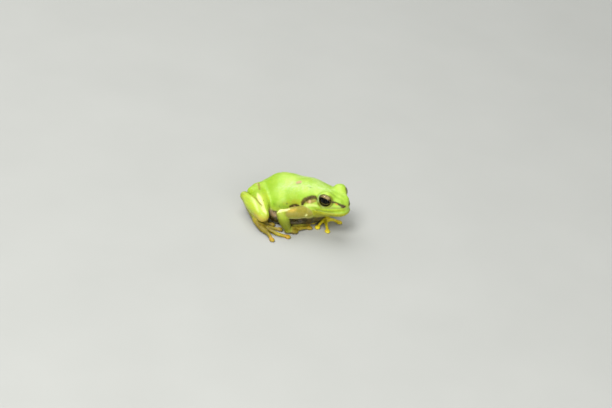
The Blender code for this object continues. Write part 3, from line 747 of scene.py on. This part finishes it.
def make_eyes():
    edge = math.radians(IRIS_EDGE)
    edge_out, rim = EYE_RADIUS * math.cos(edge), EYE_RADIUS * math.sin(edge)

    def arc(start, end, count):
        return [(EYE_RADIUS * math.cos(a), EYE_RADIUS * math.sin(a)) for a in np.linspace(start, end, count)]

    def iris_dome(start, end, count):
        return [(edge_out + IRIS_RISE * (1 - (r / rim) ** 2), r) for r in np.linspace(start, end, count)]

    back, iris = arc(math.pi, edge, BALL_RINGS), iris_dome(rim, 0, IRIS_RINGS)[1:]
    inside = [(out + CORNEA_GAP, r) for out, r in iris_dome(0, rim, LENS_RINGS)[:-1]]
    dome = arc(edge, 0, CORNEA_RINGS)
    eye_finish, cornea_finish = eye_material(), cornea_material()
    for side in BOTH:
        ball = turned_solid("eyeball", back + iris, side, eye_finish)
        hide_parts(f"eye_{SIDE_NAMES[side]}")
        turned_solid("cornea", inside + dome, side, cornea_finish)


# ---- where the markings lie
def fade(value, start, end):
    """1 below start, 0 above end, and smooth between them."""
    t = np.clip((value - start) / (end - start), 0, 1)
    return 1 - t * t * (3 - 2 * t)


def most(*marks):
    return np.maximum.reduce(marks)


class Markings:
    """Points of the skin, and how much of each marking they carry."""

    def __init__(self, points, normals):
        self.place = tuple(points.T)
        self.up = normals[:, 2]
        self.head = tuple(((points - HEAD_AT) @ HEAD_AXES.T).T)
        forms = {("trunk", 0): trunk_form(), ("head", 0): joined([form for form, _ in head_forms()], 0.5)}
        for side in BOTH:
            forms |= {(kind, side): form for kind, form in {**leg_forms(side), **arm_forms(side)}.items()}
        self.away = {key: form.distance(*self.place) for key, form in forms.items()}

    def share(self, *kinds, side=None, soft=0.3):
        """How much a point belongs to these parts of the body."""
        mine = [key for key in self.away if key[0] in kinds and side in (None, key[1])]
        own = np.minimum.reduce([self.away[key] for key in mine])
        others = np.minimum.reduce([away for key, away in self.away.items() if key not in mine])
        return fade(own - others, -soft, soft)

    def distance_to(self, places):
        """How far the points are from the nearest of these places."""
        return np.sqrt(np.min([sum((p - q) ** 2 for p, q in zip(self.place, place)) for place in places], 0))

    def on_map(self, path, across, upwards, soft):
        """A stroke on a flat map of the skin. The path gives places and half widths."""
        path = np.array(path)
        route = np.column_stack((path[:, 0], np.zeros(len(path)), path[:, 1]))
        return fade(tapered_rods(route, path[:, 2]).distance(across, 0 * across, upwards), -soft, soft)

    def on_face(self, path, soft=0.18):
        """A stroke on both sides of the head."""
        x, y, z = self.head
        return self.on_map(path, x, z, soft) * (1 - fade(np.abs(y), 0.3, 0.7)) * self.share("head", "trunk")

    def on_trunk(self, path, soft, sides=(RIGHT,)):
        """A stroke through places on the right of the frog, or on both sides."""
        path = np.array(path)
        strokes = [tapered_rods(path[:, :3] * (1, -side, 1), path[:, 3]) for side in sides]
        return most(*[fade(stroke.distance(*self.place), -soft, soft) for stroke in strokes])

    def spots(self, spots):
        to_end = (0, 0, SPOT_LENGTH, 0)
        return most(*[self.on_trunk((spot, np.add(spot, to_end)), spot[3] / 2) for spot in spots])

    def on_limbs(self, kind, path, thick, soft=0.2):
        """A stroke along a segment of both sides' limbs, given by lengths along it and turns from its top."""
        marks = []
        limbs, *ends = SEGMENTS[kind]
        for side in BOTH:
            start, end = joints(limbs[side], *ends)
            ahead, left, up = along(end - start)
            run, out, rise = (reading(way, start, *self.place) for way in (ahead, left * -side, up))
            turn = np.arctan2(out, rise) * thick
            route = [(length, math.radians(angle) * thick, width) for length, angle, width in path]
            marks.append(self.on_map(route, run, turn, soft) * fade(self.away[kind, side], 0.15, 0.5))
        return most(*marks)

    def lids(self, inner, outer, heading, spread, soft, reach=LID_RADIUS + 0.6):
        """The part of a ring on the lids that lies about a heading: 0 in front of the eye, 90 over it."""
        middle, half = (inner + outer) / 2, (outer - inner) / 2
        marks = []
        for side in BOTH:
            past, away, around = past_lid(side, *self.place)
            ring = fade(np.abs(past - middle), half, half + soft)
            off = np.abs((np.degrees(around) - heading + 180) % 360 - 180)
            marks.append(ring * fade(off, spread - 25, spread) * fade(away, reach - 0.2, reach))
        return most(*marks)

    def digits(self):
        """Grows along the fingers and toes."""
        x, y, _ = self.place
        marks = []
        for side in BOTH:
            for kind, root, reach in (("foot", LEGS[side]["sole"], 2.2), ("hand", ARMS[side]["palm"], 1.0)):
                out = 1 - fade(np.hypot(x - root[0], y - root[1]), reach, reach + 1.8)
                marks.append(self.share(kind, side=side) * out)
        # Painted shade: the right foot's inner toes keep less of this tint and show darker.
        return most(*marks) * (1 - 0.8 * self.inner_toes())

    def inner_toes(self):
        """The right foot's toes that lie in the shade of the flank, where their colour is painted darker as
        shade.
        """
        return fade(-self.place[1], 10.8, 11.6) * self.share("foot", side=RIGHT)

    def tips(self):
        tips = []
        for side in BOTH:
            palm = np.array(ARMS[side]["palm"])
            tips += [tip for _, tip in LEGS[side]["toes"]]
            tips += [palm + level(heading) * (KNUCKLE + length) for heading, length in ARMS[side]["fingers"]]
        # Painted shade: less orange at the tips of the right foot's inner toes and of the hands.
        shaded = 0.7 * self.inner_toes() + 0.6 * self.share("hand")
        return fade(self.distance_to(tips), 0.2, 1.4) * (1 - shaded)

    def all(self):
        """How much of each marking in LAYERS the points carry."""
        x, _, z = self.place
        head_x, _, head_z = self.head
        head, under = bare_head(), fade(self.up, -0.75, -0.1)
        trunk, left_hand = self.share("trunk", soft=0.5), self.share("hand", side=LEFT)
        over_border = z - np.interp(x, FLANK_X, FLANK_Z)
        over_mouth = head_z - np.interp(head_x, MOUTH_X, MOUTH_Z)
        in_crease = np.minimum(*[most(self.away["thigh", side], self.away["shank", side]) for side in BOTH])
        to_knee = self.distance_to([LEGS[side]["knee"] for side in BOTH])
        to_nostril = self.distance_to([nostril_at(head, side) for side in BOTH])
        ear = ((*TYMPANUM, 0.34), (TYMPANUM[0] + SPOT_LENGTH, TYMPANUM[1], 0.34))
        return dict(
            yellow=most(0.8 * self.share("thigh", "shank", "forearm"),
                        0.6 * trunk * fade(over_border, 0, 1.6)),
            # Painted sheen on the back and crown.
            painted_sheen=0.42 * most(self.on_trunk(PAINTED_SHEEN_BACK, 2.0, BOTH), self.on_trunk(PAINTED_SHEEN_CROWN, 1.2, BOTH)),
            rump=0.7 * self.share("trunk", "thigh", soft=0.5) * fade(x, -9.8, -6.8),
            # The flank's brown is darkened as painted shade under the body and arm; the pale belly is kept to
            # faces that look straight down, so this shade also covers the chest's underside.
            flank=trunk * fade(over_border, -0.25, 0.3),
            belly=most(under * (1 - trunk), trunk * most(fade(z, 0.4, 1.2), fade(self.up, -0.99, -0.88))),
            ochre=0.8 * self.on_trunk(SHOULDER_OCHRE, 0.9, BOTH),
            shade=0.95 * self.share("forearm") * fade(z, 3.4, 7.0),
            jaw=(self.share("head", "trunk") * fade(over_mouth, -0.12, 0.12) * fade(-head_x, 4.5, 6.5)
                 * (1 - fade(head_z, -6.4, -4.6))),
            lip=(most(self.on_face(LIP, 0.3), fade(-head_x, -4.9, -4.1) * fade(head_z, -1.5, -0.6))
                 * self.share("head")),
            cheek=self.on_face(CHEEK, 0.25),
            arm=self.share("upper_arm") * (1 - under),
            # Cream: partly the skin's own, partly painted highlights on the thigh's top and the elbow.
            cream_and_highlight=most(0.9 * self.on_limbs("thigh", THIGH_STRIPE_AND_HIGHLIGHT, 2.1, 0.4),
                       self.on_limbs("upper_arm", ARM_HIGHLIGHT, 1.4, 0.35),
                       self.on_limbs("upper_arm", ARM_SPOT, 1.5)),
            orange=most(self.on_limbs("upper_arm", ARM_ORANGE, 1.4, 0.4),
                        0.85 * fade(to_knee, 1.9, 3.3) * fade(z, 3.2, 5.4) * self.share("thigh", "shank")),
            # Painted highlight on the shank's upper edge.
            painted_shank_highlight=0.8 * self.on_limbs("shank", SHANK_HIGHLIGHT, 1.9, 0.35),
            # Painted shade in the creases between thigh and shank and at the hip.
            crease_shade=most(fade(in_crease, 0.02, 0.3) * (1 - fade(to_knee, 1.8, 3.2)),
                        0.9 * self.on_limbs("thigh", HIP_FOLD_SHADE, 2.2)),
            tan=most(self.share("hand", "foot", soft=0.6), 0.85 * self.share("tarsus", soft=0.6)),
            leg_tan=0.75 * self.share("shank") * fade(z, 2.0, 4.2),
            # Painted light: the left hand lighter and yellower, while the right hand keeps the darker tan as
            # painted shade; the toes' tint is kept off the hands.
            painted_lit_left_hand=left_hand,
            toes=self.digits() * (1 - 0.5 * self.share("hand") - 0.45 * left_hand),
            tips=0.85 * self.tips(),
            ear_tan=self.on_face(EAR_TAN, 0.25),
            # The shoulder patch's lower end is painted shadow on the top of the arm.
            bronze=most(self.on_face(CRESCENT, 0.22), self.on_face(CANTHAL_LINE, 0.14),
                        self.on_trunk(SHOULDER_PATCH, 0.25, BOTH)),
            ear=self.on_face(ear, 0.25),
            rust=self.on_face(RUST, 0.12),
            nostril=fade(to_nostril, 0.22, 0.45),
            # Painted shade round the front and bottom of the eye and in the crease under it.
            painted_olive_shade=most(0.95 * self.lids(0.1, 0.45, -60, 120, 0.35), 0.7 * self.on_face(CHEEK_CREASE_SHADE)),
            lid_rear=0.9 * self.lids(-0.3, 0.5, 160, 50, 0.3),
            lid_edge=self.lids(-0.3, 0.1, 0, 160, 0.12, LID_RADIUS + 0.08),
            # Pink spots, with painted pink-lilac highlights low on the flank.
            pink_and_highlight=most(0.95 * self.on_trunk(PINK_SPOT, 0.35), 0.6 * self.on_trunk(GROIN_HIGHLIGHT, 0.6, BOTH),
                      self.on_trunk(SHOULDER_SPOT, 0.15), 0.5 * self.on_limbs("thigh", HIP_PINK, 2.2, 0.4)),
            speck=0.7 * most(self.spots(SPECKS), self.on_trunk(PINK_SHADE, 0.2)),
        )


# ---- unevenness of the skin
def scattered(cells, salt):
    """A number from 0 to 1 for each whole-numbered place, with no pattern to be seen."""
    mixed = (cells.astype(np.int64) * (73856093, 19349663, 83492791)).sum(-1) + salt * 2654435761
    mixed = (mixed ^ (mixed >> 13)) * 1274126177
    return ((mixed ^ (mixed >> 16)) & 0xFFFF) / 0xFFFF


def lumps(points, size, salt):
    """Smooth noise from -1 to 1 with features of this size."""
    place = points / size
    base = np.floor(place)
    part = place - base
    part = part * part * (3 - 2 * part)
    total = 0
    for corner in itertools.product((0, 1), repeat=3):
        weight = np.where(corner, part, 1 - part).prod(-1)
        total = total + weight * scattered(base + corner, salt)
    return 2 * total - 1


def granules(points):
    """Rounded granules packed side by side: 1 in the middle of each and -1 between them."""
    place = points / GRANULE_SIZE
    base = np.floor(place)
    nearest = np.ones(len(points))
    for offset in itertools.product((-1, 0, 1), repeat=3):
        cell = base + offset
        middle = cell + np.stack([scattered(cell, salt) for salt in (1, 2, 3)], -1)
        nearest = np.minimum(nearest, ((place - middle) ** 2).sum(-1))
    return 1 - 3 * np.minimum(nearest, 0.667)


def unevenness(points, marks):
    """How far each point stands out from the modelled form."""
    height = sum(lumps(points, size, salt) * tall for salt, (size, tall) in enumerate(LUMPS))
    granular = most(marks["belly"], marks["flank"], 0.35 * marks["yellow"])
    height = height + granules(points) * granular * GRANULE_HEIGHT
    eye_away = np.minimum(*[past_lid(side, *points.T)[1] for side in BOTH])
    off_lids = 1 - fade(eye_away, LID_RADIUS + 0.1, LID_RADIUS + 0.8)
    return height * off_lids * (1 - fade(points[:, 2], 0.05, FLAT_SOLE))


# ---- the skin
def thinned(made, triangles):
    """Leaves an object about this many triangles."""
    fewer = made.modifiers.new("fewer", "DECIMATE")
    fewer.ratio = min(1, triangles / (2 * len(made.data.polygons)))
    mesh = bpy.data.meshes.new_from_object(made.evaluated_get(bpy.context.evaluated_depsgraph_get()))
    made.modifiers.clear()
    made.data = mesh
    mesh.shade_smooth()


def read_vectors(items, field, count):
    values = np.empty(count * 3, np.float32)
    items.foreach_get(field, values)
    return values.reshape(-1, 3).astype(float)


def make_skin():
    points, faces = body().mesh()
    skin = new_object("skin", placed(points), faces)
    thinned(skin, SKIN_TRIANGLES)
    mesh = skin.data
    count = len(mesh.vertices)
    points = (read_vectors(mesh.vertices, "co", count) - SHIFT) / GRAIN
    normals = read_vectors(mesh.vertices, "normal", count)
    marks = Markings(points, normals).all()
    for name, values in marks.items():
        write_attribute(mesh, name, values)
    points = points + normals * unevenness(points, marks)[:, None]
    mesh.vertices.foreach_set("co", placed(points).astype(np.float32).ravel())
    mesh.update()
    mesh.materials.append(skin_material())
    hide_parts(*[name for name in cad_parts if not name.startswith("eye")])
    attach(skin, "root")


# ---- materials
def srgb(red, green, blue):
    """A colour given as on a screen, 0 to 255, in the shader's linear values."""
    linear = [((v / 255 + 0.055) / 1.055) ** 2.4 if v > 10 else v / 255 / 12.92 for v in (red, green, blue)]
    return (*linear, 1)


class Nodes:
    """A material's node tree, and short ways to add to it."""

    def __init__(self, name):
        self.material = bpy.data.materials.new(name)
        self.material.use_nodes = True
        self.tree = self.material.node_tree
        self.shader = self.tree.nodes["Principled BSDF"]

    def add(self, kind, inputs, **settings):
        """A node with these settings. Each input is a value or another node's output."""
        node = self.tree.nodes.new("ShaderNode" + kind)
        for key, value in settings.items():
            setattr(node, key, value)
        for key, value in inputs.items():
            self.put(node.inputs[key], value)
        return node

    def put(self, socket, value):
        if isinstance(value, bpy.types.NodeSocket):
            self.tree.links.new(value, socket)
        else:
            socket.default_value = value

    def attribute(self, name, output="Fac"):
        return self.add("Attribute", {}, attribute_name=name).outputs[output]

    def scaled(self, size):
        """The inputs of a pattern with features of this size in millimetres."""
        return {"Scale": 1 / (size * GRAIN), "Vector": self.add("TexCoord", {}).outputs["Object"]}

    def noise(self, size, detail):
        return self.add("TexNoise", {**self.scaled(size), "Detail": detail}).outputs["Fac"]

    def cells(self, size, feature="F1"):
        return self.add("TexVoronoi", self.scaled(size), feature=feature).outputs

    def math(self, operation, a, b=0.0, clamp=False):
        return self.add("Math", {0: a, 1: b}, operation=operation, use_clamp=clamp).outputs[0]

    def plus(self, a, b):
        return self.math("ADD", a, b)

    def times(self, a, b):
        return self.math("MULTIPLY", a, b)

    def length(self, a, b):
        return self.math("SQRT", self.plus(self.times(a, a), self.times(b, b)))

    def fade(self, value, start, end):
        """0 at start and 1 at end, smooth between them."""
        return self.add("MapRange", {"Value": value, "From Min": start, "From Max": end},
                        interpolation_type="SMOOTHSTEP").outputs[0]

    def mix(self, share, a, b):
        node = self.add("Mix", {}, data_type="RGBA")
        for socket, value in zip((node.inputs[0], node.inputs[6], node.inputs[7]), (share, a, b)):
            self.put(socket, value)
        return node.outputs[2]

    def bump(self, height, strength, distance):
        """A normal for relief this high, in millimetres."""
        inputs = {"Height": height, "Strength": strength, "Distance": distance * GRAIN}
        return self.add("Bump", inputs).outputs[0]

    def finish(self, values):
        """The material, with these values on its shader."""
        for socket, value in values.items():
            self.put(self.shader.inputs[socket], value)
        return self.material


def skin_material():
    nodes = Nodes("frog_skin")
    broad, middling, fine = nodes.noise(BROAD, 3), nodes.noise(MIDDLING, 3), nodes.noise(FINE, 2)
    colour = nodes.mix(nodes.fade(broad, 0.35, 0.65), *(srgb(*green) for green in LEAF_GREENS))
    ragged = nodes.math("SUBTRACT", nodes.plus(middling, nodes.times(fine, 0.5)), 0.75)
    for name, one, other, raggedness in LAYERS:
        tint = nodes.mix(nodes.fade(middling, 0.4, 0.62), srgb(*one), srgb(*other))
        mark = nodes.attribute(name)
        unsure = nodes.times(nodes.times(mark, nodes.math("SUBTRACT", 1.0, mark)), 4 * raggedness)
        colour = nodes.mix(nodes.math("ADD", mark, nodes.times(unsure, ragged), clamp=True), colour, tint)
    dots, freckles = nodes.cells(DOTS), nodes.cells(FRECKLES)
    dot = nodes.times(nodes.fade(dots["Color"], 0.66, 0.7), nodes.fade(dots["Distance"], 0.13, 0.06))
    freckle = nodes.times(nodes.fade(freckles["Distance"], 0.36, 0.2),
                          nodes.fade(freckles["Color"], 0.45, 0.6))
    freckle = nodes.times(freckle, nodes.math("MAXIMUM", nodes.attribute("tan"), nodes.attribute("leg_tan")))
    for share, strength, spotted in ((dot, DOT_SHARE, DOT_COLOUR), (freckle, FRECKLE_SHARE, FRECKLE_COLOUR),
                                     (nodes.fade(fine, 0.45, 0.75), PALE_SHARE, PALE_GRAIN)):
        colour = nodes.mix(nodes.times(share, strength), colour, srgb(*spotted))
    pores = nodes.plus(nodes.times(nodes.cells(PORES, "SMOOTH_F1")["Distance"], -0.7), fine)
    return nodes.finish({"Base Color": colour, "Roughness": nodes.plus(nodes.times(middling, 0.25), 0.28),
                         "Normal": nodes.bump(pores, 0.35, 0.05), **SKIN_FINISH})


def eye_material():
    nodes = Nodes("frog_eye")
    place = nodes.add("SeparateXYZ", {0: nodes.attribute("eye_place", "Vector")})
    out, front, up = (place.outputs[axis] for axis in "XYZ")
    radius, veins = nodes.length(front, up), nodes.noise(VEIN_SIZE, 3)
    cos, sin = math.cos(PUPIL_TILT), math.sin(PUPIL_TILT)
    oval = nodes.length(*(nodes.math("DIVIDE", nodes.plus(nodes.times(front, a), nodes.times(up, b)), size)
                          for a, b, size in ((cos, -sin, PUPIL_SIZE[0]), (sin, cos, PUPIL_SIZE[1]))))
    way = [nodes.math("DIVIDE", part, radius) for part in (front, up)]
    spokes = nodes.add("CombineXYZ", {0: way[0], 1: way[1], 2: nodes.times(radius, 0.35)})
    pattern = {"Vector": spokes.outputs[0], "Scale": STREAK_SCALE, "Detail": 4.0}
    streaks = nodes.add("TexNoise", pattern).outputs["Fac"]
    gold = nodes.mix(nodes.fade(streaks, 0.4, 0.62), srgb(*IRIS_BRONZE), srgb(*IRIS_GOLD))
    sideways = nodes.math("DIVIDE", nodes.math("ABSOLUTE", up), radius)
    colour = nodes.mix(nodes.fade(sideways, 0.75, 0.2), gold, srgb(*IRIS_BROWN))
    # The top of the iris paler: partly its own colour and partly a painted reflection of the sky.
    colour = nodes.mix(nodes.fade(up, 0.1, 0.9), colour, nodes.mix(0.6, gold, srgb(*IRIS_PALE)))
    measures = {"up": up, "veins": veins, "oval": oval, "radius": radius}
    for measure, start, full, strength, tint in IRIS_LAYERS:
        share = nodes.times(nodes.fade(measures[measure], start, full), strength)
        colour = nodes.mix(share, colour, srgb(*tint))
    colour = nodes.mix(nodes.fade(out, 0.45, 0.55), srgb(*EYE_WHITE), colour)
    relief = nodes.times(streaks, nodes.fade(oval, 1.0, 1.2))
    return nodes.finish({"Base Color": colour, "Roughness": nodes.plus(nodes.times(veins, 0.2), 0.4),
                         "Specular IOR Level": 0.12, "Normal": nodes.bump(relief, 0.3, 0.04)})


def cornea_material():
    """Clear and glossy: what lies behind shows, under reflections that grow towards the edge."""
    nodes = Nodes("clear_cornea")
    nodes.tree.nodes.remove(nodes.shader)
    slant = nodes.add("LayerWeight", {"Blend": CORNEA_SLANT}).outputs["Facing"]
    clear = nodes.add("BsdfTransparent", {"Color": nodes.mix(slant, CORNEA_CLEAR, CORNEA_EDGE)})
    gloss = nodes.add("BsdfGlossy", CORNEA_GLOSS)
    edge, geometry = nodes.add("Fresnel", {"IOR": CORNEA_IOR}), nodes.add("NewGeometry", {})
    outside = nodes.math("SUBTRACT", 1.0, geometry.outputs["Backfacing"])
    share = nodes.times(edge.outputs[0], outside)
    both = nodes.add("MixShader", {0: share, 1: clear.outputs[0], 2: gloss.outputs[0]})
    nodes.tree.links.new(both.outputs[0], nodes.tree.nodes["Material Output"].inputs["Surface"])
    return nodes.material


def floor_material():
    nodes = Nodes("floor_paper")
    tint = nodes.mix(nodes.noise(FLOOR_PATTERN, 3), *(srgb(*grey) for grey in FLOOR_TINTS))
    return nodes.finish({"Base Color": tint, "Roughness": 0.85})


# ---- stage, light and camera
def make_camera():
    right = Vector(CAMERA_RIGHT).normalized()
    up = Vector(CAMERA_UP)
    up = (up - right * up.dot(right)).normalized()
    back = right.cross(up)
    data = bpy.data.cameras.new("camera")
    data.lens, data.sensor_width = CAMERA_LENS, CAMERA_SENSOR
    data.clip_start, data.clip_end = CAMERA_CLIP
    camera = linked("camera", data)
    camera.matrix_world = Matrix((right, up, back)).transposed().to_4x4()
    camera.matrix_world.translation = Vector(placed(CAMERA_TARGET)) + back * CAMERA_DISTANCE * GRAIN
    bpy.context.scene.camera = camera


def area_light(name, place, size, watts):
    data = bpy.data.lights.new(name, "AREA")
    data.shape = "DISK"
    data.size, data.energy = size, watts
    light = linked(name, data)
    light.location = place
    light.rotation_euler = (-Vector(place)).to_track_quat("-Z", "Y").to_euler()


def make_stage():
    bpy.ops.mesh.primitive_plane_add(size=FLOOR_WIDTH)
    floor = bpy.context.object
    floor.name = "floor"
    floor.data.materials.append(floor_material())
    world = bpy.data.worlds.new("studio")
    world.use_nodes = True
    sky = world.node_tree.nodes["Background"].inputs
    sky["Color"].default_value, sky["Strength"].default_value = SKY_COLOUR, SKY_STRENGTH
    bpy.context.scene.world = world
    for name, settings in LIGHTS.items():
        area_light(name, *settings)
    bpy.context.scene.view_settings.view_transform = "Standard"


# ---- the scene
make_camera()
make_stage()
make_skin()
make_eyes()
